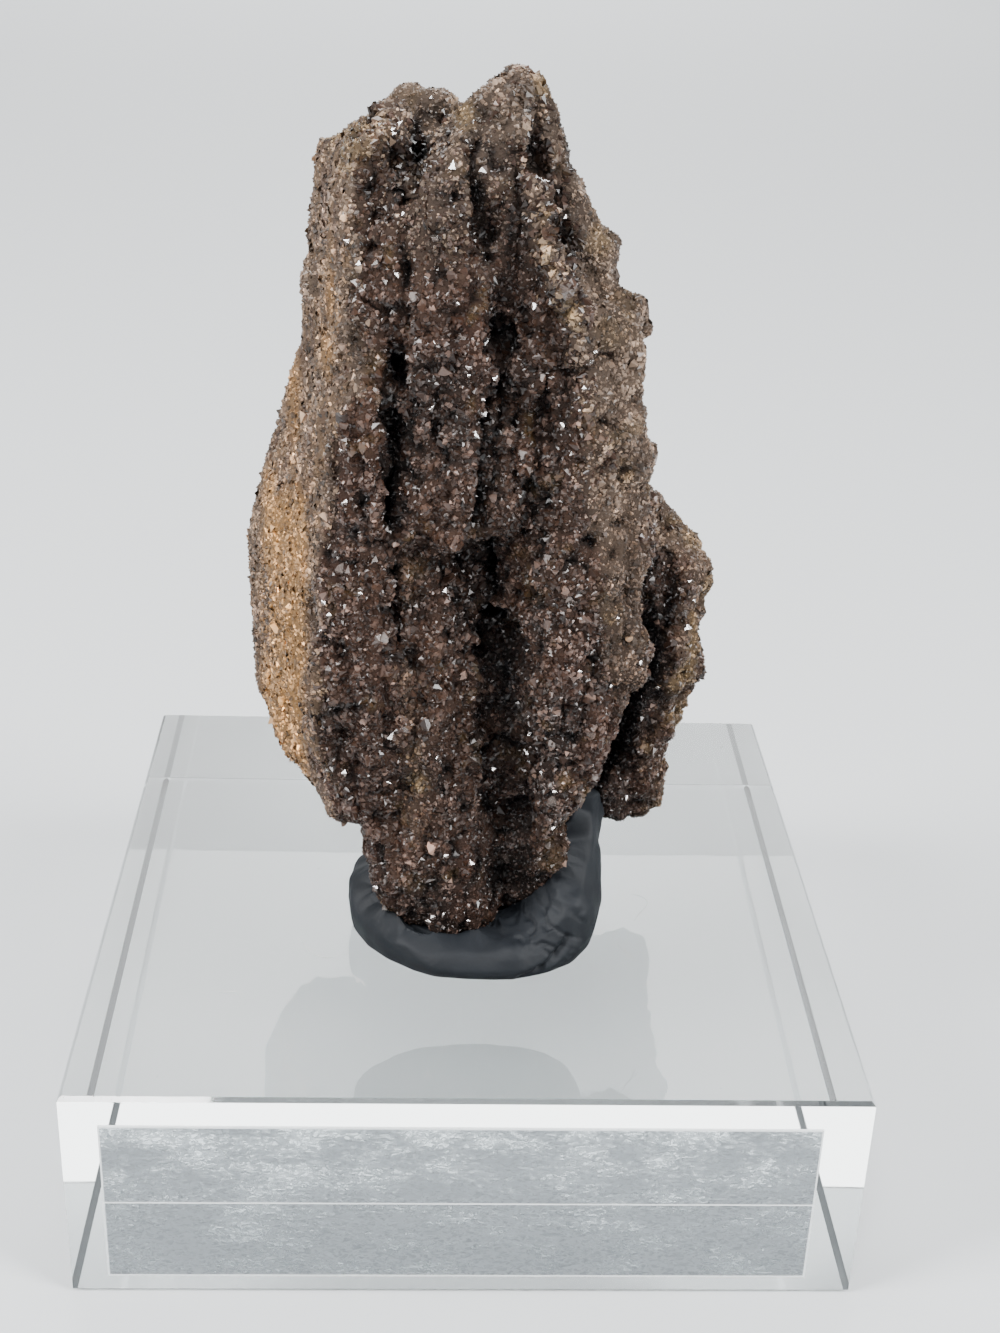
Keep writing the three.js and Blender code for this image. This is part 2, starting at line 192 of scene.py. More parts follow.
label_low, label_high = (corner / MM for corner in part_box("label"))
label_middle, label_half = (label_low + label_high) / 2 * MM, (label_high - label_low) / 2 * MM


def bell(value, middle, width):
    """1 at the middle, falling away smoothly to about a third one width off."""
    return np.exp(-(((value - middle) / width) ** 2))


# Clear tape: sheer where the adhesive has wetted, milky in patches and along fine crinkles where air
# is caught under it, and whitened at its cut edges and along the pressed line.
film, tree, place = new_material("clear label tape")
streaks = add(tree, "Mapping", {"Vector": place, "Scale": (0.5, 1, 1)}).outputs["Vector"]
wetted = add(tree, "TexNoise", {"Vector": streaks, "Scale": per(2.2), "Detail": 6.0,
                                "Roughness": 0.65}).outputs["Fac"]
crinkle = add(tree, "TexNoise", {"Vector": streaks, "Scale": per(0.3), "Detail": 5.0,
                                 "Distortion": 0.5}).outputs["Fac"]
grain = add(tree, "Bump", {"Height": crinkle, "Strength": 0.7, "Distance": 0.08 * MM}).outputs["Normal"]
sheer = add(tree, "BsdfPrincipled", {"Base Color": linear("#c3c9cd"), "Roughness": 0.15, "IOR": 1.57,
                                     "Transmission Weight": 1.0, "Normal": grain})
milky = add(tree, "BsdfPrincipled", {"Base Color": linear("#8f969b"), "Roughness": 0.35, "IOR": 1.57,
                                     "Transmission Weight": 0.3, "Normal": grain})
white = add(tree, "BsdfPrincipled", {"Base Color": linear("#eef1f2"), "Roughness": 0.5, "IOR": 1.57})
share = add(tree, "MapRange", {"Value": wetted, "From Min": 0.38, "From Max": 0.62,
                               "To Min": 0.05, "To Max": 0.7}).outputs["Result"]
from_fold = add(tree, "Math", {0: crinkle, 1: 0.5}, operation="SUBTRACT").outputs[0]
from_fold = add(tree, "Math", {0: from_fold}, operation="ABSOLUTE").outputs[0]
folds = add(tree, "MapRange", {"Value": from_fold, "From Min": 0.0, "From Max": 0.1,
                               "To Min": 0.65, "To Max": 0.0}).outputs["Result"]
share = add(tree, "Math", {0: share, 1: folds}, operation="ADD").outputs[0]
body = add(tree, "MixShader", {0: share, 1: sheer.outputs["BSDF"], 2: milky.outputs["BSDF"]})
whitened = 0.0
where = add(tree, "SeparateXYZ", {"Vector": place})
for axis, middle, reach in (
    ("Z", label_middle[2], 0.0),
    ("Z", label_middle[2], label_half[2] - WHITE_INSET * MM),
    ("X", label_middle[0], label_half[0] - WHITE_INSET * MM),
):
    off = add(tree, "Math", {0: where.outputs[axis], 1: middle}, operation="SUBTRACT").outputs[0]
    off = add(tree, "Math", {0: off}, operation="ABSOLUTE").outputs[0]
    edge = add(tree, "Math", {0: off, 1: reach, 2: WHITE_HALF_WIDTH * MM}, operation="COMPARE").outputs[0]
    whitened = add(tree, "Math", {0: whitened, 1: edge}, operation="MAXIMUM").outputs[0]
body = add(tree, "MixShader", {0: whitened, 1: body.outputs["Shader"], 2: white.outputs["BSDF"]})
add(tree, "OutputMaterial", {"Surface": body.outputs["Shader"]})

# The front has the pressed line and barely waves, and the back is flat.
xs = np.linspace(label_low[0], label_high[0], TAPE_COLUMNS)
zs = np.linspace(label_low[2], label_high[2], TAPE_ROWS)
line = (label_low[2] + label_high[2]) / 2
across_line = line + LINE_HALF_WIDTH * np.linspace(-2, 2, 7)
zs = np.sort(np.concatenate([zs[: TAPE_ROWS // 2], across_line, zs[TAPE_ROWS // 2 + 1 :]]))
grid_x, grid_z = (values.ravel() for values in np.meshgrid(xs, zs, indexing="ij"))
dented = LINE_DEPTH * bell(grid_z, line, LINE_HALF_WIDTH)
dented += 0.004 * (1 + np.sin(0.9 * grid_x + 1.3 * np.sin(0.8 * grid_z)))
front = np.column_stack([grid_x, label_low[1] + dented, grid_z])
back = np.column_stack([grid_x, np.full(len(grid_x), label_high[1] - ADHESIVE), grid_z])
grid = np.arange(len(grid_x)).reshape(len(xs), len(zs))
squares = np.stack([grid[:-1, :-1], grid[1:, :-1], grid[1:, 1:], grid[:-1, 1:]], axis=-1).reshape(-1, 4)
rim = np.concatenate([grid[:-1, 0], grid[-1, :-1], grid[:0:-1, -1], grid[0, :0:-1]])
next_round = np.roll(rim, -1)
walls = np.stack([next_round, rim, rim + len(grid_x), next_round + len(grid_x)], axis=1)
faces = np.concatenate([squares, squares[:, ::-1] + len(grid_x), walls])
tape = make_piece("label_tape", np.concatenate([front, back]), faces.tolist(), film)
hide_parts("label")


# ---- Petrified wood -----------------------------------------------------------------------------
# Wood turned to quartz, split along its grain into upright ridges, with a smooth tan flank where it
# parted from its neighbour. It is one natural piece, pressed into the putty by its foot.

STONE_STEP = 0.32  # between the skin's corners, before crystals grow on it
CLOSING, WIDE = 0.3, 0.6  # how far crystals have grown from each wall of a split over this half width
CLUMP = (0.95, 0.95, 1.1)  # the size of the rounded clumps that the crystals stand in
RIDGES_BACK, SLAB_FRONT = -2.5, -4.3  # the y where the front's ridges end, and where the slab begins
block_top = block_high[2]

# Furrows between the ridges, seen from the front: the path as heights above the block and x, then
# the half width and the depth that weathering added to the split, which also sets the shade painted
# in them. The one below 0 is a swelling.
FURROWS = (
    ([(55.2, -0.4), (53.6, -0.95), (52.2, -0.7), (50.8, -0.4), (47.4, 0.2), (44.5, 0.7)], 0.4, 1.0),
    ([(49.5, 0.7), (47, 1.2), (43, 1.4)], 1.3, 0.4),
    ([(44.5, 0.75), (42, 0.95), (39.6, 0.85)], 0.5, 0.6),
    ([(40.6, 0.95), (39.6, 0.85), (37, 0.25), (34.5, 0.1), (32.5, -0.2), (30.6, -0.2), (29.6, 0.5)],
     0.8, 1.1),
    ([(29.6, 0.4), (27.5, 0.75), (25.9, 1.0), (24, 1.4), (22, 1.7)], 1.15, 1.5),
    ([(24, 1.5), (21, 1.75), (18, 1.9), (15, 2.2), (11.5, 2.3), (3, 2.6)], 1.6, 1.35),
    ([(54.2, -4.7), (52.8, -4.8), (51.4, -4.85)], 0.9, 1.3),
    ([(42.5, -5.2), (34, -5.3), (28, -5.1), (23, -5.0), (17, -5.6), (11, -5.6)], 0.7, 0.25),
    ([(55.9, 2.7), (53.7, 2.95), (50.9, 3.4), (48.9, 3.9)], 0.55, 1.5),
    ([(49.5, 4.3), (46.8, 5.0)], 0.45, 0.7),
    ([(53.5, 1.6), (51, 1.8), (48, 2.0)], 0.5, 0.7),
    ([(42, 2.2), (39, 2.3), (35.8, 2.65), (32.6, 2.8), (28.6, 2.7), (24.5, 3.1)], 1.3, -0.8),
    ([(49, -3.1), (46, -2.9), (42, -2.6), (36, -2.8)], 0.7, 0.5),
    ([(29, -1.5), (22, -1.0), (15, -0.7), (9, -0.3)], 1.2, 0.8),
    ([(38, 4.6), (30, 4.7), (22, 4.8), (15, 4.4)], 0.6, 0.45),
    ([(24, -8.0), (17, -8.2), (12, -7.6)], 0.8, 0.8),
    ([(12, 1.8), (10, 1.9), (3, 2.6)], 0.8, 1.0),
    ([(33, 11.6), (28, 12.2), (25, 12.6), (23.5, 12.6)], 0.9, 0.9),
    ([(31, 9.3), (28, 9.4), (25, 9.5)], 0.35, 0.5),
)
# The druse has grown over most of the split between the two left ridges, part of the way up the
# wider ones in the middle, and into the clefts at the top: the path, half the width it fills, and how
# far behind the ridges it ends.
OVERGROWN = (
    ([(51.2, -4.9), (50.2, -4.9), (46, -5.4), (42, -5.2), (34, -5.3), (28, -5.1), (23, -5.0), (17, -5.5),
      (9, -5.4)], 1.5, 0.7),
    ([(54.4, -7.1), (52, -6.9), (50, -6.5)], 0.9, 0.1),
    ([(48.5, 0.4), (44, 0.8), (40, 1.1)], 2.3, 0.3),
    ([(41.5, 1.0), (38.5, 1.2), (33, 0.6), (31, 0.4)], 2.1, 0.9),
    ([(24.4, 1.6), (21, 1.85), (17, 2.0), (12, 2.2), (8, 2.4)], 1.5, 2.3),
    ([(54.5, 2.6), (53, 3.1), (50.5, 3.9), (48, 5.0)], 0.9, 1.2),
)
# The slots it leaves open in them: height and x down the slot with half its width, then how deep it
# goes. The first is the eye near the top of the left one, and the last two are in the middle.
SLOTS = (
    ([(42.5, -5.0, 0.75), (41.4, -4.95, 0.95), (40.2, -4.95, 0.65)], 4.5),
    ([(38.8, -5.15, 0.52), (35, -5.2, 0.48), (34, -5.45, 0.5), (31.6, -5.45, 0.42)], 3.5),
    ([(30.5, -4.2, 0.7), (29.4, -4.4, 0.8)], 1.8),
    ([(28.9, -5.1, 0.45), (26, -5.05, 0.42), (23.2, -5.05, 0.35)], 2.8),
    ([(45.0, 0.7, 0.12), (43.4, 0.85, 0.28), (41.5, 1.0, 0.38), (39.8, 0.9, 0.4), (37.8, 0.3, 0.3)], 1.4),
    ([(39.6, 0.15, 0.42), (37, -0.1, 0.5), (34.5, -0.2, 0.5), (32.5, -0.45, 0.5), (31, -0.45, 0.45)], 3.4),
)
# Knobs that stand out, by height above the block, x, radius and height over the rest.
KNOBS = (
    (55.0, -6.4, 1.6, 1.6), (54.2, -8.0, 1.0, 0.5), (47.7, 7.0, 1.2, 1.0), (44.9, 9.0, 0.8, 0.4),
    (38.0, 9.3, 0.9, 0.3), (35.4, 9.9, 0.8, 0.35), (34.8, -13.3, 0.5, 0.4), (33.4, -13.5, 0.5, 0.45),
    (32.2, -13.7, 0.5, 0.35), (36.6, -12.9, 0.4, 0.3), (28.2, -4.3, 1.2, 0.5), (31.2, -0.2, 0.6, 1.1),
    (30.6, -2.2, 1.0, 0.4), (7.2, 5.6, 1.0, 0.5), (25.6, 1.8, 0.35, 0.9), (24.7, 1.9, 0.3, 0.9),
    (12.6, 6.3, 1.3, 0.5), (14.8, 4.6, 1.2, -0.5),
)
# The golden crest, which runs down the right of the middle: a chain of knobs, to its left and right
# by turns.
CREST = [(52, 2.4), (51.4, 2.6), (48.9, 3.15), (47.2, 3.7), (46, 4.5), (44, 5.4), (40, 6.0)]
CHAIN_HEIGHTS, CHAIN_SIDES = np.arange(45.2, 52.0, 0.8), (0.3, -0.35, 0.25, -0.2, 0.35, -0.3, 0.2, -0.3, 0.1)
CHAIN_RADIUS, CHAIN_RISE = 0.55, 0.95
# The outer faces of the left and right ridges are weathered grey and fine-grained. Between them
# the quartz is fresh, dark and coarser. The edges run as paths down the front, as above.
LEFT_EDGE = [(60, -8.0), (52, -7.7), (43, -6.5), (39.5, -7.9), (36, -9.2), (26, -9.8), (17, -10.3), (8, -8.8)]
RIGHT_EDGE = [(60, 4.5), (52, 4.2), (47, 4.9), (43, 5.6), (34, 6.6), (24, 7.9), (18, 8.8), (10, 10)]
FLANK_FACING = np.array([-0.914, -0.407, 0])  # square to the grain, out of the tan flank
FLANK_EDGE = -8.4  # the x that the flank's near edge never passes
# The top of the left ridge, by x and how much it climbs: up to the knuckle behind it.
LEFT_TOP = ((-9.6, 0), (-8.5, 0.45), (-7.5, 0.75), (-6.5, 1.15), (-5.6, 1.4), (-4.8, 1.1), (-4.0, 0))
# The main body's lower right edge, and how far it turns in over the slab at each height.
LOWER_EDGE = [(21.5, 10.9), (18.7, 10.7), (17.4, 10.3), (15.9, 9.9), (14.4, 9.6), (13, 9.5), (11.1, 8.9),
              (10, 7.9), (9, 6.6)]
TURNED_IN = [(20.5, 0), (16, 1.0), (13, 1.3), (10.5, 1.4), (9, 1.5)]
CREVICE = 2.0  # how much deeper the crevice between that edge and the slab is
# The slab's outer edge: bumps and nicks by height, half height and how far out, then its pale rim.
SLAB_BUMPS = ((29.5, 1.5, -0.5), (26, 3.0, 1.2), (15.8, 1.6, -0.7), (9.6, 1.6, -0.8))
SLAB_RIM = [(31, 11.4), (28, 12.4), (26.5, 13.9), (24, 13.9), (20, 12.9), (12, 12.2), (8, 12.0)]
# Where the front is worn pale low down, where iron has stained it ochre, by height, x and radius, and
# the thin golden streaks at the top of the flank, by height, x and half height.
WORN_STREAK = [(24, -4.3), (16, -3.6), (9, -3.2)]
OCHRE_SPOTS = (
    (53.1, -8.9, 1.4), (53.7, -7.5, 1.2), (54.3, -6.3, 0.9), (55.3, -1.5, 0.8), (57.0, 3.1, 0.9),
    (50.8, 3.4, 0.5), (31.2, -0.3, 0.6), (28.6, -4.0, 1.0), (6.6, -4.0, 0.9), (7.3, 5.8, 1.3),
    (13.9, 6.0, 0.5), (26.5, -4.2, 0.8), (14, -3.6, 0.9), (48.5, 6.4, 1.0), (33.4, 11.0, 0.9),
    (45.2, 4.6, 0.7),
)
GOLDEN_STREAKS = ((36.5, -11.7, 3.2), (41.5, -9.4, 1.6), (45, -9.0, 2.0))


def lattice(x, y, z, seed):
    """A repeatable value from -1 to 1 at each whole-numbered point."""
    mixed = (x * 374761393 + y * 668265263 + z * 1440662683 + seed * 974634777) & 0xFFFFFFFF
    mixed = ((mixed ^ (mixed >> 13)) * 1274126177) & 0xFFFFFFFF
    return ((mixed ^ (mixed >> 16)) & 0xFFFF) / 32767.5 - 1


def noise(points, size, seed):
    """Smooth noise from -1 to 1 at each point, with features `size` across in x, y and z."""
    scaled = points / np.asarray(size, float)
    cell = np.floor(scaled).astype(np.int64)
    t = scaled - cell
    t = t * t * (3 - 2 * t)
    total = np.zeros(len(points))
    for corner in np.ndindex(2, 2, 2):
        share = np.prod(np.where(corner, t, 1 - t), axis=1)
        total += share * lattice(*(cell + corner).T, seed)
    return total


def clumps(points, size, seed):
    """Rounded clumps of about this size: how far up its clump each point is, and the clump's value."""
    scaled = points / np.asarray(size, float)
    base = np.floor(scaled).astype(np.int64) - 1
    nearest, value = np.full(len(points), 9.0), np.zeros(len(points))
    for step in np.ndindex(3, 3, 3):
        cell = base + step
        middle = cell + 0.5 + 0.4 * np.stack([lattice(*cell.T, seed + k) for k in range(3)], axis=1)
        gap = np.linalg.norm(scaled - middle, axis=1)
        value = np.where(gap < nearest, lattice(*cell.T, seed + 3), value)
        nearest = np.minimum(gap, nearest)
    return np.sqrt(np.clip(1 - (nearest / 0.85) ** 2, 0, 1)), value


def ramp(value, low, high):
    """0 below low, 1 above high, and smooth between."""
    t = np.clip((value - low) / (high - low), 0, 1)
    return t * t * (3 - 2 * t)


def band(value, start, low, high, end):
    """1 from low to high, 0 before the start and past the end, and smooth between."""
    return ramp(value, start, low) * (1 - ramp(value, high, end))


def along(height, path):
    """The x of a path, given from the top down, at each height above the block."""
    heights, xs = zip(*reversed(path))
    return np.interp(height, heights, xs)


def round_spot(points, high, x, radius):
    """1 at a spot given by height above the block and x, falling away over its radius."""
    return np.exp(-((points[:, 0] - x) ** 2 + (points[:, 2] - block_top - high) ** 2) / radius**2)


def corners_and_normals(mesh):
    """A mesh's corners, and the way out of it at each, as rows of x, y and z."""
    read = []
    for values, name in ((mesh.vertices, "co"), (mesh.vertex_normals, "vector")):
        flat = np.empty(len(values) * 3, np.float32)
        values.foreach_get(name, flat)
        read.append(flat.reshape(-1, 3).astype(float))
    return read


def move_corners(mesh, corners):
    """Puts a mesh's corners at new places."""
    mesh.vertices.foreach_set("co", corners.astype(np.float32).ravel())
    mesh.update()


def remade(mesh, step, rounds):
    """A mesh made again in its place, with even faces `step` across, and smoothed."""
    holder = new_object("skin", mesh)
    remesh = holder.modifiers.new("remesh", "REMESH")
    remesh.mode = "VOXEL"
    remesh.voxel_size = step
    smooth = holder.modifiers.new("smooth", "SMOOTH")
    smooth.factor = 0.5
    smooth.iterations = rounds
    skin = bpy.data.meshes.new_from_object(holder.evaluated_get(bpy.context.evaluated_depsgraph_get()))
    bpy.data.objects.remove(holder)
    bpy.data.meshes.remove(mesh)
    return skin


def fine_skin(node, step, rounds):
    """A CAD node's skin in millimetres, with even faces `step` across."""
    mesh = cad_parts[node].data.copy()
    mesh.transform(Matrix.Scale(1 / MM, 4))
    return remade(mesh, step, rounds)


def skin_piece(name, skin, material):
    """Shows a skin that is in millimetres as a smooth piece."""
    skin.transform(Matrix.Scale(MM, 4))
    skin.shade_smooth()
    skin.materials.clear()
    skin.materials.append(material)
    return new_object(name, skin)


def foremost_near(points):
    """The y of the skin's foremost corner at about each corner's height and x.

    The cells are 0.8 mm across. Each looks at two more on its left and right.
    """
    cell, tallest, columns, reach = 0.8, 60, 80, 2
    row = (np.clip(points[:, 2] - block_top, 0, tallest) / cell).astype(int)
    column = (points[:, 0] / cell + columns / 2).astype(int)
    foremost = np.full((row.max() + 1, columns), 9.0)
    np.minimum.at(foremost, (row, column), points[:, 1])
    foremost = np.minimum.reduce([np.roll(foremost, k, axis=1) for k in range(-reach, reach + 1)])
    return foremost[row, column]


def flank_share(points, normals):
    """1 on the smooth tan flank and 0 on the crystalled ridges."""
    faces_out = ramp(normals @ FLANK_FACING, 0.3, 0.7)
    edge = np.minimum(along(points[:, 2] - block_top, LEFT_EDGE), FLANK_EDGE)
    left = ramp(edge - points[:, 0] + 0.8 * noise(points, (1.0, 1.0, 1.8), 10), -0.8, 0.8)
    patchy = ramp(noise(points, (2.2, 2.2, 5), 11), -1.0, -0.5)
    return faces_out * left * patchy


# The split wood with the druse's thickness on it: overgrown splits, and the slots left open in them.
stone_skin = fine_skin("petrified_wood", STONE_STEP, 5)
points, _ = corners_and_normals(stone_skin)
x, y, z = points.T  # a change to one of these moves the points
height = z - block_top
nearest = foremost_near(points)
roughly = noise(points, (1.3, 1.3, 1.3), 18)
for path, half_width, behind in OVERGROWN:
    top, bottom = path[0][0], path[-1][0]
    off = np.abs(x - along(height, path))
    inside = 1 - ramp(off, 0.8 * half_width, 1.25 * half_width)
    inside *= band(height, bottom - 0.5, bottom + 0.5, top, top + 0.8) * (y < RIDGES_BACK)
    grown = np.minimum(y, nearest + behind + 0.5 * roughly)
    y += inside * (grown - y)
for slot, deep in SLOTS:
    path, widths = [stop[:2] for stop in slot], [(stop[0], stop[2]) for stop in slot]
    top, bottom = path[0][0], path[-1][0]
    off = np.abs(x + 0.12 * roughly - along(height, path)) / along(height, widths)
    inside = (1 - ramp(off, 0.75, 1.15)) * (y < RIDGES_BACK)
    inside *= band(height, bottom - 0.4, bottom + 0.2, top - 0.2, top + 0.4)
    y += inside * (np.maximum(y, nearest + deep) - y)
# The top of the left ridge climbs to the knuckle behind it, and its end runs on under the summit.
rise = np.interp(x, *zip(*LEFT_TOP)) * ramp(height, 49.0, 51.8)
rise *= (1 - ramp(y, -1.6, 0.2)) * (0.6 + 0.4 * ramp(y, -8, -4))
z += rise
# The main body's lower right edge turns in over the slab, and leaves a deep crevice behind it.
edge = along(height, LOWER_EDGE)
at_edge = ramp(x, edge - 2.5, edge + 0.5) * ramp(height, 7.5, 9)
x -= along(height, TURNED_IN) * at_edge * (y < SLAB_FRONT)
outer = ramp(x, 11, 13)
for high, tall, shift in SLAB_BUMPS:
    x += shift * bell(height, high, tall) * outer
behind_edge = (y > SLAB_FRONT) & (y < -0.5) & (x > edge - 1.5)
beside_edge = (1 - ramp(x - edge, 0.3, 1.9)) * band(height, 8.5, 10, 22.5, 24)
y += CREVICE * behind_edge * beside_edge
move_corners(stone_skin, points)
stone_skin = remade(stone_skin, STONE_STEP, 2)

# The relief on that, in and out along the skin: waves and lumps along the grain, rounded clumps,
# beads on the flank's far edge, then the furrows and the shade painted for how sunk each place is in
# them.
points, normals = corners_and_normals(stone_skin)
(x, y, z), (out_x, out_y, _) = points.T, normals.T
height = z - block_top
edge = along(height, LOWER_EDGE)
flank = flank_share(points, normals)
drift = np.stack([noise(points, (6, 6, 9), seed) for seed in (1, 2, 3)], axis=1)
grain = points + drift * (0.8, 0.8, 0.5)
clump, clump_value = clumps(points, CLUMP, 61)
relief = 0.42 * noise(grain, (1.5, 1.5, 12), 4) + 0.2 * noise(grain, (0.8, 0.8, 6), 5)
relief += 0.25 * noise(points, (1.8, 1.8, 2.2), 6) + 0.85 * (clump - 0.75) * (1 - 0.75 * flank)
relief = relief * (1 - 0.35 * flank) * (1 - 0.6 * ramp(height, 51, 54)) - 0.05
relief += 0.07 * flank * noise(points, (0.7, 0.7, 5), 7)
far_edge = ramp(-out_x, 0.5, 0.8) * ramp(out_y, -0.42, -0.1) * ramp(height, 8, 12)
relief += 0.3 * far_edge * (clumps(points, (1.3, 1.3, 1.3), 71)[0] - 0.5)
front, exposed = ramp(-out_y, 0.05, 0.5), ramp(-y, 2, 5)
wander = 0.35 * noise(points, (3, 3, 2.2), 8)
unevenly = 0.75 + 0.35 * noise(points, (2, 2, 2.6), 9)
# How sunk each place is, kept as painted shade: low in the relief, in a furrow or in the crevice, it is
# painted darker.
sunk_shade = 0.8 * ramp(-relief, 0.1, 0.7)
for path, half_width, depth in FURROWS:
    top, bottom = path[0][0], path[-1][0]
    off = (x + wander - along(height, path)) / half_width
    ends = band(height, bottom - 1.5, bottom + 1, top - 1, top + 1.5)
    furrow = depth * np.exp(-(off**2)) * ends
    relief -= furrow * front * unevenly
    sunk_shade = np.maximum(sunk_shade, furrow * exposed)
    if half_width > WIDE:
        relief += CLOSING * np.exp(-0.5 * off**2) * ends * (1 - front) * exposed
# The slab is painted dark with shade from the crevice out to a paler, knobbly rim.
slab = ramp(x, 10, 11.5) * (1 - ramp(height, 36, 40))
rim = x - along(height, SLAB_RIM)
# Painted shade in the crevice behind the main body's lower edge.
crevice_shade = ramp(x, edge - 0.5, edge + 0.3) * (1 - ramp(rim, -1.6, 0.4))
crevice_shade *= (1 - ramp(height, 26.5, 28.5)) * ramp(-y, -4, 0)
sunk_shade = np.maximum(sunk_shade, 2.2 * crevice_shade)
relief += 0.45 * slab * noise(points, (1.4, 1.4, 1.4), 19) + 0.3 * slab * ramp(rim, -0.5, 0.8) * (clump - 0.3)
# Knobs, the crest's among them, and the ledge across the middle, which stands over a hollow.
chain = [(high, along(high, CREST) + side, CHAIN_RADIUS, CHAIN_RISE)
         for high, side in zip(CHAIN_HEIGHTS, CHAIN_SIDES)]
for high, middle, radius, rise in (*KNOBS, *chain):
    knob = rise * round_spot(points, high, middle, radius)
    relief += knob * ramp(-out_y, -0.3, 0.1) * ramp(-y, 1.5, 3.5)
ledge = ramp(height, 22, 29) * (1 - ramp(height + 0.4 * noise(points, (1, 1, 1), 15), 30.0, 30.6))
relief -= 0.5 * ledge * band(x, -4.6, -4.0, -1.0, 0.2) * front
crest = bell(x, along(height, CREST), 0.6) * band(height, 38, 41, 51.5, 53) * front
relief += 1.2 * crest * (clumps(points, (0.9, 0.9, 0.9), 72)[0] - 0.15)
move_corners(stone_skin, points + normals * relief[:, None])


def openness(points, normals, tree, reach, rays=14):
    """How much of the view out of each point is open for `reach`, from 0 in a crevice to 1."""
    turns = (np.arange(rays) + 0.5) / rays
    out = np.sqrt(1 - turns**2 * 0.92)
    spin = np.arange(rays) * math.radians(137.508)
    fan = np.stack([turns * 0.96 * np.cos(spin), turns * 0.96 * np.sin(spin), out], axis=1)
    clear = np.zeros(len(points))
    for i, (point, normal) in enumerate(zip(points, normals)):
        turn = Vector(normal).to_track_quat("Z", "Y").to_matrix()
        start = Vector(point + normal * 0.05)
        for ray in fan:
            if tree.ray_cast(start, turn @ Vector(ray), reach)[0] is None:
                clear[i] += 1 / rays
    return clear


# How each place looks, from 0 to 1. First the light painted on it, from how open it is to the sky,
# with painted shade in crevices, in furrows, at the foot and under the knuckle.
points, normals = corners_and_normals(stone_skin)
(x, y, z), (_, out_y, _) = points.T, normals.T
height = z - block_top
flank = flank_share(points, normals)
stone_tree = BVHTree.FromPolygons(points.tolist(), [list(p.vertices) for p in stone_skin.polygons])
painted_light = openness(points, normals, stone_tree, 5.0)
# Painted shade where the skin is sunk, at the foot and under the knuckle.
painted_light /= 1 + 0.5 * sunk_shade * (1 - flank)
painted_light *= 1 - 0.35 * (1 - ramp(height, 6, 10)) - 0.3 * ramp(height, 43, 50) * ramp(x, -8, -3)

# How worn it is: wholly on the outer faces and the back, in part at the top, and along the crest.
uneven = 1.1 * noise(points, (2, 2, 4), 12) + 0.5 * noise(points, (0.7, 0.7, 1.2), 13)
worn_left = ramp(along(height, LEFT_EDGE) - x + uneven, -0.5, 0.9)
worn_right = ramp(x - along(height, RIGHT_EDGE) + uneven, -0.5, 0.9)
worn_right *= ramp(height + 2 * uneven, 13, 22)
worn_back = ramp(y + uneven, -3.5, -1)
shoulder = ramp(x, -5.2, -4.4) * ramp(height - 4 * ramp(x, 0.6, 1.6), 46, 50)
worn_top = 0.22 * ramp(height + 2 * uneven, 44, 51) + 0.4 * ramp(height + 1.5 * uneven, 52, 55)
streak = bell(x, along(height, WORN_STREAK) - 0.3 * uneven, 0.8) * band(height, 8, 11, 21, 25)
crest = bell(x, along(height, CREST), 0.75) * band(height, 38, 43, 51.5, 53)
crest *= ramp(-out_y, 0, 0.4)
worn = np.maximum.reduce([worn_left, worn_right, worn_back, worn_top + 0.3 * shoulder, 0.8 * streak,
                          0.95 * crest])
# The crest is painted bright, as if lit, over the painted shade.
painted_light = np.maximum(painted_light, 0.9 * crest)
# Painted shade between the rounded clumps, less on worn faces and on the flank.
shade_between_clumps = (1 - ramp(clump, 0.3, 0.92)) * (1 - 0.4 * flank) * (1 - 0.65 * worn * (1 - 0.55 * flank))
painted_light *= 1 - 0.75 * shade_between_clumps
worn *= ramp(painted_light, 0.2, 0.5) * (1 - slab * (1 - ramp(rim + 0.6 * uneven, -0.8, 0.4)))

# Iron has stained the crest, the rim of the right slab and some spots ochre.
blotch = noise(points, (1.3, 1.3, 2), 17)
stained = ramp(0.8 * crest + 0.75 * slab * ramp(rim + uneven, -0.5, 1.5) + 0.5 * blotch, 0.35, 1.15)
for high, middle, radius in OCHRE_SPOTS:
    spot = round_spot(points, high, middle, radius) * (out_y < 0.2)
    stained = np.maximum(stained, spot * (0.8 + 0.4 * blotch))

# The flank is golden in one long patch, with thinner streaks above it.
golden = 1 - ramp(np.abs(x + 12.3 - 0.02 * (height - 25)), 1.2, 2.1)
golden *= ramp(height + uneven, 8, 14) * (1 - ramp(height + 1.5 * uneven, 30, 32.5))
for high, middle, tall in GOLDEN_STREAKS:
    golden = np.maximum(golden, 0.8 * bell(x, middle, 0.45) * bell(height, high, tall))
golden = np.clip(golden + 0.3 * noise(points, (0.9, 0.9, 4), 14) - 0.05, 0, 1)


def set_attribute(mesh, name, values):
    """Gives each corner of a mesh a value that its material reads by an Attribute node."""
    made = mesh.attributes.new(name, "FLOAT", "POINT")
    made.data.foreach_set("value", np.asarray(values, np.float32))


def between(tree, amount, low, high, first, second, most=1.0):
    """Colour `first` where the amount is below low, turning to `second` where it is above high."""
    share = add(tree, "MapRange", {"Value": amount, "From Min": low, "From Max": high, "To Max": most})
    return add(tree, "Mix", {"Factor": share.outputs["Result"], "A": first, "B": second},
               data_type="RGBA").outputs["Result"]


def shaded(tree, colour, *amounts):
    """A colour with painted shade: dimmed in crevices, where little of the sky is seen, and by other amounts.
    """
    painted_light = add(tree, "Attribute", attribute_name="painted_light").outputs["Fac"]
    lit = add(tree, "MapRange", {"Value": painted_light, "From Min": 0.15, "From Max": 0.75,
                                 "To Min": 0.12, "To Max": 1.0}).outputs["Result"]
    for amount in amounts:
        lit = add(tree, "Math", {0: lit, 1: amount}, operation="MULTIPLY").outputs[0]
    return add(tree, "VectorMath", {0: colour, "Scale": lit}, operation="SCALE").outputs[0]


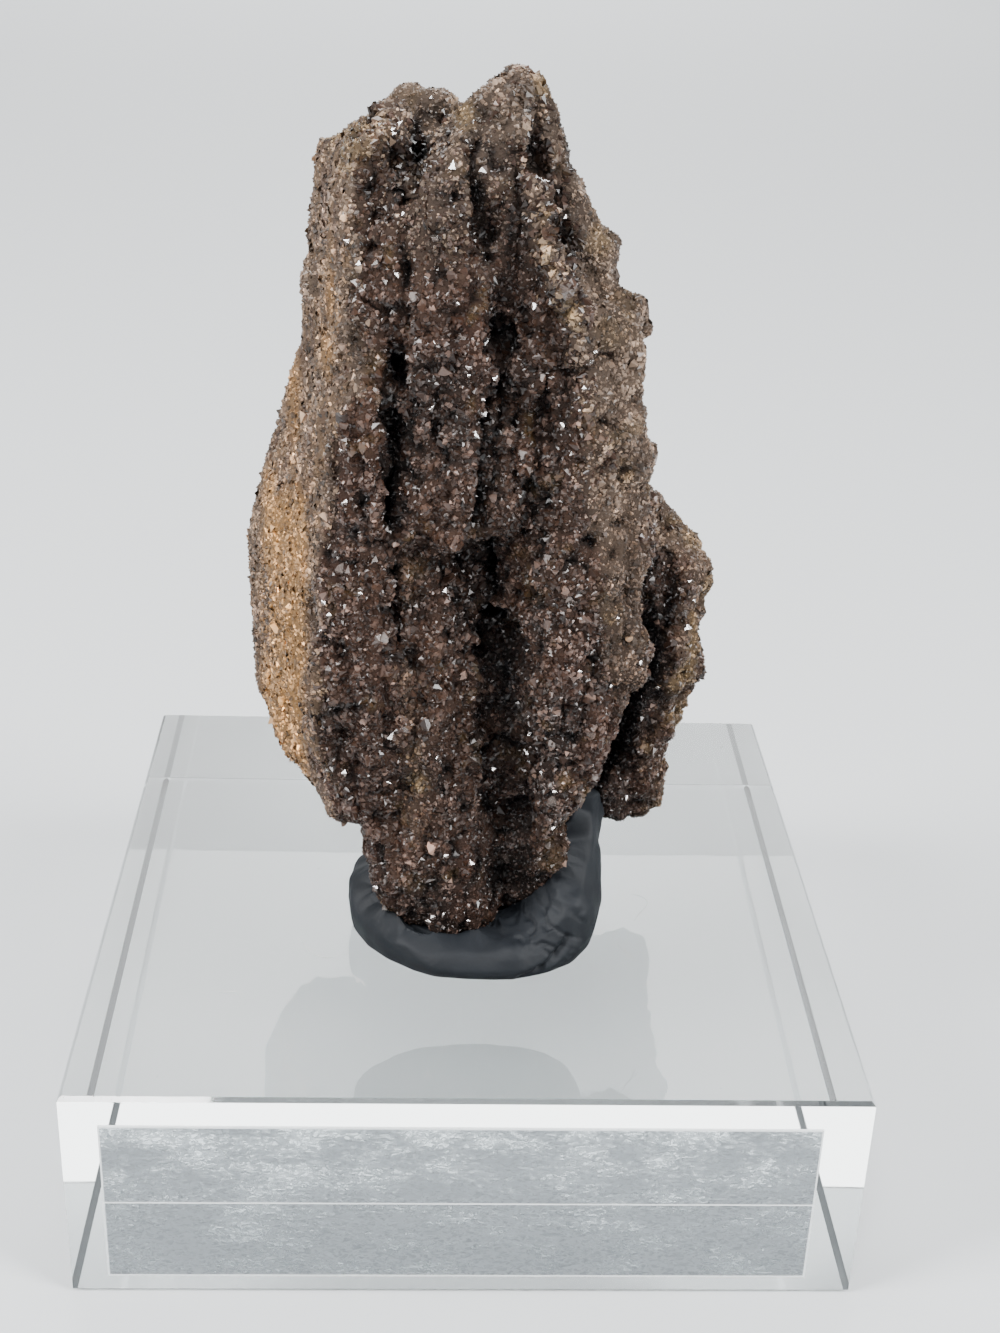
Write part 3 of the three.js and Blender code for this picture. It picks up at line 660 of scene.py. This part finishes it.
def fresh_colour(tree, place):
    """Smoky brown quartz with rust along the grain and a little ochre."""
    streaks = add(tree, "Mapping", {"Vector": place, "Scale": (1, 1, 0.4)}).outputs["Vector"]
    smoke = add(tree, "TexNoise", {"Vector": streaks, "Scale": per(3), "Detail": 5.0}).outputs["Fac"]
    colour = between(tree, smoke, 0.35, 0.65, linear("#2d1c12"), linear("#52392b"))
    rust = add(tree, "TexNoise", {"Vector": streaks, "Scale": per(5.5), "Detail": 4.0}).outputs["Fac"]
    colour = between(tree, rust, 0.50, 0.66, colour, linear("#46291b"), 0.5)
    ochre = add(tree, "TexNoise", {"Vector": place, "Scale": per(2.6), "Detail": 4.0}).outputs["Fac"]
    colour = between(tree, ochre, 0.60, 0.70, colour, linear("#6f5627"), 0.45)
    iron = add(tree, "Attribute", attribute_name="stained").outputs["Fac"]
    return between(tree, iron, 0.2, 0.9, colour, linear("#6c5435"), 0.6)


def worn_colour(tree, place):
    """Weathered quartz, grey-brown with a pink cast, paler to the top, and ochre in patches."""
    cloud = add(tree, "TexNoise", {"Vector": place, "Scale": per(3.5), "Detail": 5.0}).outputs["Fac"]
    height = add(tree, "SeparateXYZ", {"Vector": place}).outputs["Z"]
    low = between(tree, cloud, 0.35, 0.65, linear("#443327"), linear("#624c3d"))
    high = between(tree, cloud, 0.35, 0.65, linear("#544438"), linear("#7e6a5a"))
    colour = between(tree, height, 30 * MM, 56 * MM, low, high)
    ochre = add(tree, "TexNoise", {"Vector": place, "Scale": per(3.2), "Detail": 4.0}).outputs["Fac"]
    colour = between(tree, ochre, 0.56, 0.68, colour, linear("#705b3c"), 0.35)
    iron = add(tree, "Attribute", attribute_name="stained").outputs["Fac"]
    return between(tree, iron, 0.2, 0.9, colour, linear("#927855"), 0.75)


def tan_colour(tree, place):
    """The flank's fine-grained quartz: golden tan in the middle, and greyer to its edges and top."""
    streaks = add(tree, "Mapping", {"Vector": place, "Scale": (1, 1, 0.12)}).outputs["Vector"]
    gold = add(tree, "Attribute", attribute_name="golden").outputs["Fac"]
    colour = between(tree, gold, 0.0, 1.0, linear("#57463b"), linear("#946e43"))
    pale = add(tree, "TexNoise", {"Vector": streaks, "Scale": per(0.45), "Detail": 3.0}).outputs["Fac"]
    return between(tree, pale, 0.42, 0.58, colour, linear("#80684e"), 0.4)


# Petrified wood: quartz stained brown by iron, dull between its crystals, with a fine sugary tooth.
# The skin that shows between the crystals is painted darker, as shade.
rock, tree, place = new_material("petrified wood")
tooth = add(tree, "TexVoronoi", {"Vector": place, "Scale": per(0.2)})
bump = add(tree, "Bump", {"Height": tooth.outputs["Distance"], "Strength": 0.8, "Distance": 0.08 * MM})
weathered = add(tree, "Attribute", attribute_name="worn").outputs["Fac"]
colour = between(tree, weathered, 0.0, 1.0, fresh_colour(tree, place), worn_colour(tree, place))
smooth = add(tree, "Attribute", attribute_name="flank").outputs["Fac"]
colour = between(tree, smooth, 0.2, 0.8, colour, tan_colour(tree, place))
# Painted shade on the skin between the crystals, less on the flank.
shade_between_crystals = between(tree, smooth, 0.2, 0.8, (0.4, 0.4, 0.4, 1), (0.6, 0.6, 0.6, 1))
body = add(tree, "BsdfPrincipled", {"Base Color": shaded(tree, colour, shade_between_crystals), "Roughness": 0.8, "IOR": 1.544,
                                    "Specular IOR Level": 0.2, "Normal": bump.outputs["Normal"]})
add(tree, "OutputMaterial", {"Surface": body.outputs["BSDF"]})

for name, values in (("painted_light", painted_light), ("flank", flank), ("worn", worn), ("golden", golden),
                     ("stained", stained)):
    set_attribute(stone_skin, name, values)
stone = skin_piece("stone", stone_skin, rock)
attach(stone, "root")
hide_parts("petrified_wood")


# ---- Quartz druse -------------------------------------------------------------------------------
# The crust of small quartz points that covers the ridges. They grew out of the stone and are part
# of it: six-sided, with three large and three small faces to the tip, and rooted below the skin.

CRYSTALS_PER_MM2 = 25
BARE_FOOT = 1.0  # no point grows nearer to the block's top
# The largest crystals, by height above the block, x and radius. The first two bridge the split
# below its eye. Each takes the foremost place within a third of a millimetre.
LARGEST = (
    (40.3, -5.4, 0.55), (39.6, -4.9, 0.45), (45.6, -4.4, 0.45), (24.4, -5.6, 0.45), (23.0, -7.9, 0.5),
    (22.4, -7.4, 0.4), (27.0, 1.8, 0.45), (25.8, 1.9, 0.4), (17.6, 2.7, 0.5), (7.0, 2.2, 0.6),
    (7.2, 0.2, 0.4), (13.6, 4.9, 0.5), (12.6, 5.4, 0.45), (47.0, 4.6, 0.5), (46.2, 5.1, 0.45),
)
NEAR_SQUARED = 0.12  # in square millimetres
SCATTERED_SHARE, SCATTERED_RADIUS = 0.035, 0.25  # smaller clear points, in patches between them
# Points that flash, how many ways of standing are tried for each, and where the eye and the lamp are.
GLINTS, TRIES, GLINT_RADIUS = 80, 500, 0.22
EYE, LAMP = np.array([-3.6, -115.5, 89.6]), np.array([-100, -360, 460])


def unit(ways):
    """The same ways, each of length 1."""
    return ways / np.linalg.norm(ways, axis=1, keepdims=True)


def grow(seats, axes, radii, rng):
    """Corners and faces of one six-sided quartz point at each seat, with no underside."""
    count = len(seats)
    across = unit(np.cross(axes, np.where(np.abs(axes[:, 2:]) < 0.8, (0, 0, 1), (1, 0, 0))))
    other = np.cross(axes, across)
    spin = rng.uniform(0, 2 * math.pi, count)
    lean = rng.uniform(-0.3, 0.3, (count, 2)) * radii[:, None]
    corners = np.empty((count, 7, 3))
    for k in range(6):
        angle = spin + k * math.pi / 3
        reach = radii * rng.uniform(0.9, 1.1, count) * (1.02 if k % 2 else 0.86)
        corners[:, k] = seats + across * (reach * np.cos(angle))[:, None]
        corners[:, k] += other * (reach * np.sin(angle))[:, None] - axes * (0.5 * radii)[:, None]
    rise = radii * rng.uniform(0.3, 0.8, count)
    corners[:, 6] = seats + axes * rise[:, None] + across * lean[:, :1] + other * lean[:, 1:]
    ring = np.array([(k, (k + 1) % 6, 6) for k in range(6)])
    return corners.reshape(-1, 3), (np.arange(count)[:, None, None] * 7 + ring).reshape(-1, 3)


# Druzy quartz: clear glassy points over brown ones, so light sinks in, and a face flashes where it
# happens to mirror a lamp. The paler a point is, the greyer.
druse, tree, place = new_material("druzy quartz")
tone = add(tree, "Attribute", attribute_name="tone").outputs["Fac"]
colour = between(tree, tone, 0.8, 2.2, fresh_colour(tree, place), linear("#4f4039"), 0.8)
body = add(tree, "BsdfPrincipled", {"Base Color": shaded(tree, colour, tone), "Roughness": 0.28, "IOR": 1.544,
                                    "Specular IOR Level": 0.3, "Transmission Weight": 0.4})
add(tree, "OutputMaterial", {"Surface": body.outputs["BSDF"]})

# Rock crystal: the larger points, nearly clear, with bright faces.
clear, tree, place = new_material("rock crystal")
tone = add(tree, "Attribute", attribute_name="tone").outputs["Fac"]
colour = between(tree, tone, 0.4, 2.0, fresh_colour(tree, place), linear("#b3a8a2"))
body = add(tree, "BsdfPrincipled", {"Base Color": shaded(tree, colour), "Roughness": 0.06, "IOR": 1.544,
                                    "Transmission Weight": 0.5})
add(tree, "OutputMaterial", {"Surface": body.outputs["BSDF"]})

# Weathered druse: the same points, etched dull and stained by the soil.
crust, tree, place = new_material("weathered druse")
colour = worn_colour(tree, place)
tone = add(tree, "Attribute", attribute_name="tone").outputs["Fac"]
body = add(tree, "BsdfPrincipled", {"Base Color": shaded(tree, colour, tone), "Roughness": 0.4, "IOR": 1.544,
                                    "Specular IOR Level": 0.3, "Transmission Weight": 0.2})
add(tree, "OutputMaterial", {"Surface": body.outputs["BSDF"]})

# Sugary quartz: the flank's grains, too small to tell apart by eye and drawn a little coarser.
sugar, tree, place = new_material("sugary quartz")
colour = tan_colour(tree, place)
tone = add(tree, "Attribute", attribute_name="tone").outputs["Fac"]
body = add(tree, "BsdfPrincipled", {"Base Color": shaded(tree, colour, tone), "Roughness": 0.5, "IOR": 1.544,
                                    "Specular IOR Level": 0.3, "Transmission Weight": 0.1})
add(tree, "OutputMaterial", {"Surface": body.outputs["BSDF"]})


# Places for the points: spread evenly over the skin's triangles, with what the skin is like there.
rng = np.random.default_rng(21)
stone_skin.calc_loop_triangles()
triangles = np.empty(len(stone_skin.loop_triangles) * 3, np.int32)
stone_skin.loop_triangles.foreach_get("vertices", triangles)
triangles = triangles.reshape(-1, 3)
sides = points[triangles[:, 1:]] - points[triangles[:, :1]]
areas = np.linalg.norm(np.cross(sides[:, 0], sides[:, 1]), axis=1) / 2
areas *= height[triangles].max(axis=1) > BARE_FOOT
chosen = rng.choice(len(areas), int(areas.sum() * CRYSTALS_PER_MM2), p=areas / areas.sum())
shares = rng.dirichlet((1, 1, 1), len(chosen))[:, :, None]
layers = np.column_stack([points, normals, painted_light, flank, worn, golden, stained, clump, clump_value])
layers = np.sum(layers[triangles[chosen]] * shares, axis=1)
spots, out = layers[:, :3], unit(layers[:, 3:6])
painted_light, flank, worn, golden, stained, clump, clump_value = layers[:, 6:].T
height = spots[:, 2] - block_top
coarse = np.exp(0.25 * noise(spots, (2, 2, 3), 31) + 0.25 * (clump - 0.6))
coarse *= 0.85 + 0.15 * ramp(height, 7, 12)
coarse *= 1 + 0.5 * bell(spots[:, 0], along(height, CREST), 0.7) * ramp(height, 41, 45)


def leaning(seats, tilt):
    """Ways for points at these seats to stand: out of the skin, and leaning at random."""
    return unit(out[seats] + tilt * rng.normal(size=(len(seats), 3)))


def plant(name, material, seats, radii, tilt, spread):
    """Joined quartz points at the given spots."""
    corners, faces = grow(spots[seats], leaning(seats, tilt), radii, rng)
    piece = make_piece(name, corners, faces.tolist(), material)
    tone = np.exp(spread * rng.normal(size=len(seats)) + 0.5 * clump_value[seats])
    tone *= np.where(rng.random(len(seats)) < 0.07, 2.0, 0.95)
    # Each point takes the painted light and shade of the skin where it stands.
    for layer, values in (("painted_light", painted_light[seats]), ("golden", golden[seats]),
                          ("stained", stained[seats]), ("tone", tone)):
        set_attribute(piece.data, layer, np.repeat(values, 7))
    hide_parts("petrified_wood")


on_flank = rng.random(len(spots)) < flank
on_crust = ~on_flank & (rng.random(len(spots)) < worn)
on_druse = ~on_flank & ~on_crust
# The name, where they grow, the usual radius and its spread, how far they lean, the spread of their
# tone and how many pieces they are joined into.
for name, material, where, usual, uneven, tilt, spread, parts in (
    ("flank_grains", sugar, on_flank, 0.165, 0.3, 0.5, 0.62, 1),
    ("worn_points", crust, on_crust, 0.15, 0.28, 0.4, 0.45, 3),
    ("fresh_points", druse, on_druse, 0.17, 0.32, 0.45, 0.5, 3),
):
    seats = np.flatnonzero(where)
    seats = seats[np.argsort(spots[seats, 0])]
    for number, share in enumerate(np.array_split(seats, parts)):
        radii = usual * coarse[share] * np.exp(uneven * rng.normal(size=len(share)))
        plant(f"{name}_{number + 1}", material, share, radii, tilt, spread)

in_front = np.flatnonzero(out[:, 1] < -0.3)
single = []
for high, x, _ in LARGEST:
    near = in_front[(spots[in_front, 0] - x) ** 2 + (height[in_front] - high) ** 2 < NEAR_SQUARED]
    single.append(near[np.argmin(spots[near, 1])])
patch = ramp(noise(spots, (3, 3, 3), 32), -0.4, 0.6) * ramp(clump, 0.4, 0.8)
scattered = np.flatnonzero(on_druse & (rng.random(len(spots)) < SCATTERED_SHARE * patch))
radii = SCATTERED_RADIUS * np.exp(0.25 * rng.normal(size=len(scattered)))
plant("large_points", clear, np.concatenate([single, scattered]),
      np.concatenate([[radius for _, _, radius in LARGEST], radii]), 0.5, 0.4)

# A druse of this size always has some faces turned to mirror a small lamp to the eye: of many ways
# each of these points could stand, the one that does so best is kept.
lit = in_front[(painted_light[in_front] > 0.45) & ~on_flank[in_front] & (out[in_front, 1] < -0.6)]
seats = np.repeat(rng.choice(lit, GLINTS, replace=False), TRIES)
halfway = unit(unit(EYE - spots[seats]) + unit(LAMP - spots[seats]))
axes = leaning(seats, 0.6)
radii = np.repeat(GLINT_RADIUS * np.exp(0.3 * rng.normal(size=GLINTS)), TRIES)
corners, faces = grow(spots[seats] + 0.1 * out[seats], axes, radii, rng)
sides = corners[faces[:, 1:]] - corners[faces[:, :1]]
turned = unit(np.cross(sides[:, 0], sides[:, 1]))
match = np.sum(turned.reshape(-1, 6, 3) * halfway[:, None], axis=2).max(axis=1)
best = np.arange(GLINTS) * TRIES + match.reshape(GLINTS, TRIES).argmax(axis=1)
corners = corners.reshape(-1, 7, 3)[best].reshape(-1, 3)
glints = make_piece("glinting_points", corners, faces[: 6 * GLINTS].tolist(), clear)
# The flashing points get no painted shade.
for layer, value in (("painted_light", 1.0), ("stained", 0.0), ("tone", 1.0)):
    set_attribute(glints.data, layer, np.full(7 * GLINTS, value))
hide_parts("petrified_wood")


# ---- Mineral putty ------------------------------------------------------------------------------
# A wad of dark slate-grey tack, kneaded, pressed on the block and squeezed up round the stone's
# foot with a thumb. It never sets.

PUTTY_STEP = 0.18  # between the skin's corners
PUTTY_MIDDLE = np.array([0.6, -5.6])
# Pressed marks, by bearing round the wad from +X, height above the block, radius and depth.
THUMB_MARKS = (
    (-52, 3.4, 2.6, 0.35), (-20, 6.0, 2.4, 0.3), (-128, 2.4, 2.6, 0.25), (150, 3.0, 2.5, 0.3),
    (80, 4.0, 2.6, 0.3), (-160, 3.8, 1.6, 0.2),
)
# Creases where the wad was folded, as bearing and height, then the half width and depth.
CREASES = (
    ([(-68, 0.5), (-58, 0.9), (-49, 1.6), (-42, 2.6)], 0.22, 0.3),
    ([(-172, 5.2), (-158, 4.2), (-146, 3.6)], 0.25, 0.3),
    ([(-120, 3.3), (-95, 2.9), (-75, 3.2)], 0.5, 0.16),
)
# Skin-like wrinkles beside the largest thumb mark: the bearing and height of their middle, how far
# they spread round and up, and their depth.
WRINKLES = (-49, 3.2, 2.8, 1.5, 0.24)
SQUEEZED = (0.8, 1.8)  # skin nearer to the stone than the first is on it, and past the second is free

tack_skin = fine_skin("mounting_putty", PUTTY_STEP, 12)
points, normals = corners_and_normals(tack_skin)
spokes = points[:, :2] - PUTTY_MIDDLE
bearing, reach = np.degrees(np.arctan2(spokes[:, 1], spokes[:, 0])), np.linalg.norm(spokes, axis=1)
height = points[:, 2] - block_top
outside = ramp(reach, 5, 6.5)


def away(mark_bearing):
    """Distance round the wad from a bearing, in millimetres."""
    turn = (bearing - mark_bearing + 180) % 360 - 180
    return np.radians(turn) * reach


press = 0.12 * noise(points, (2.6, 2.6, 2.2), 51) + 0.05 * noise(points, (1.1, 1.1, 0.9), 52)
for mark_bearing, mark_height, radius, depth in THUMB_MARKS:
    apart = np.hypot(away(mark_bearing), height - mark_height) / radius
    press -= depth * (np.exp(-2 * apart**2) - 0.45 * np.exp(-8 * (apart - 1) ** 2)) * outside
for path, half_width, depth in CREASES:
    for (first, low), (last, high) in zip(path, path[1:]):
        start = np.stack([away(first), height - low], axis=1)
        run = np.stack([away(first) - away(last), np.full(len(points), high - low)], axis=1)
        t = np.clip(np.sum(start * run, axis=1) / np.sum(run**2, axis=1), 0, 1)[:, None]
        crease = depth * bell(np.linalg.norm(start - t * run, axis=1), 0, half_width) * outside
        press = np.minimum(press, press - crease)
wrinkle_bearing, wrinkle_height, wide, tall, depth = WRINKLES
x, y, _ = points.T
folded = np.stack([0.8 * x - 0.6 * height, y, 0.6 * x + 0.8 * height], axis=1)
creased = 1 - ramp(np.abs(noise(folded, (1.5, 1.3, 0.5), 53)), 0.0, 0.35)
wrinkled = bell(away(wrinkle_bearing), 0, wide) * bell(height, wrinkle_height, tall) * ramp(reach, 4, 5.5)
press -= depth * wrinkled * creased
points += normals * (press * ramp(height, 0.1, 0.6))[:, None]
# The rim is squeezed against the stone.
on_stone, free = SQUEEZED
for i, point in enumerate(points):
    near, _, _, gap = stone_tree.find_nearest(Vector(point), free)
    if near is not None and height[i] > 0.4:
        points[i] += (1 - ramp(gap, on_stone, free)) * (np.array(near) - point)
move_corners(tack_skin, points)

# Mineral tack: matt and slightly waxy, dark grey with a bluish cast, a little uneven from kneading.
tack, tree, place = new_material("mineral tack")
cloud = add(tree, "TexNoise", {"Vector": place, "Scale": per(3), "Detail": 4.0}).outputs["Fac"]
colour = add(tree, "Mix", {"Factor": cloud, "A": linear("#0a0d12"), "B": linear("#171c22")},
             data_type="RGBA").outputs["Result"]
kneaded = add(tree, "TexNoise", {"Vector": place, "Scale": per(0.3), "Detail": 3.0}).outputs["Fac"]
bump = add(tree, "Bump", {"Height": kneaded, "Strength": 0.4, "Distance": 0.05 * MM})
body = add(tree, "BsdfPrincipled", {"Base Color": colour, "Roughness": 0.65, "IOR": 1.5,
                                    "Specular IOR Level": 0.35, "Normal": bump.outputs["Normal"]})
add(tree, "OutputMaterial", {"Surface": body.outputs["BSDF"]})
putty = skin_piece("putty", tack_skin, tack)
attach(putty, "root")
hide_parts("mounting_putty")


# ---- Floor, light and camera --------------------------------------------------------------------
# A plain pale floor and soft studio light: a softbox on each side in front, a weak large one above, a
# wide one far behind, and a small lamp in front for the glints. None of it is part of the object.

FLOOR_HALF, FLOOR_DROP = 4, 2e-5  # the floor lies just clear of the block's underside
AIM = Vector((0, 0, 0.04))  # where every lamp points
# The lamps: where they stand, how wide they are and their power in watts.
LAMPS = (
    ("left", (-0.36, -0.14, 0.30), 0.18, 3.6),
    ("right", (0.34, -0.20, 0.32), 0.18, 3.6),
    ("top", (-0.04, -0.02, 0.55), 0.3, 1.7),
    ("back", (0.0, 0.75, 0.45), 0.7, 8.0),
    ("glint", LAMP * MM, 0.06, 0.9),
)
# The camera: its turn to the right, its pitch down and its roll, in degrees, and where it stands.
YAW, PITCH, ROLL = 2.7636, 26.1649, 2.1598
STANDPOINT = (-3.566, -115.545, 89.601)
LENS, SENSOR = 50.59, 36

paper, tree, place = new_material("pale paper floor")
body = add(tree, "BsdfPrincipled", {"Base Color": linear("#d3d6d8"), "Roughness": 0.8})
add(tree, "OutputMaterial", {"Surface": body.outputs["BSDF"]})
floor_mesh = bpy.data.meshes.new("floor")
turns = ((-1, -1), (1, -1), (1, 1), (-1, 1))
floor_corners = [(x * FLOOR_HALF, y * FLOOR_HALF, -FLOOR_DROP) for x, y in turns]
floor_mesh.from_pydata(floor_corners, [], [(0, 1, 2, 3)])
floor_mesh.materials.append(paper)
floor = new_object("floor", floor_mesh)

for name, where, size, power in LAMPS:
    lamp = bpy.data.lights.new(name, "AREA")
    lamp.size = size
    lamp.energy = power
    light = new_object(name, lamp)
    light.location = where
    light.rotation_euler = (AIM - Vector(where)).to_track_quat("-Z", "Y").to_euler()

world = bpy.data.worlds.new("studio")
world.use_nodes = True
sky = world.node_tree.nodes["Background"].inputs
sky["Color"].default_value = linear("#cfd6dc")
sky["Strength"].default_value = 0.36
bpy.context.scene.world = world

yaw, pitch, roll = (math.radians(angle) for angle in (YAW, PITCH, ROLL))
ahead = Vector((math.sin(yaw) * math.cos(pitch), math.cos(yaw) * math.cos(pitch), -math.sin(pitch)))
right = Vector((math.cos(yaw), -math.sin(yaw), 0))
up = right.cross(ahead)
right, up = right * math.cos(roll) + up * math.sin(roll), up * math.cos(roll) - right * math.sin(roll)
lens = bpy.data.cameras.new("camera")
lens.lens = LENS
lens.sensor_width = SENSOR
camera = new_object("camera", lens)
rows = [(right[i], up[i], -ahead[i], STANDPOINT[i] * MM) for i in range(3)]
camera.matrix_world = Matrix((*rows, (0, 0, 0, 1)))
bpy.context.scene.camera = camera
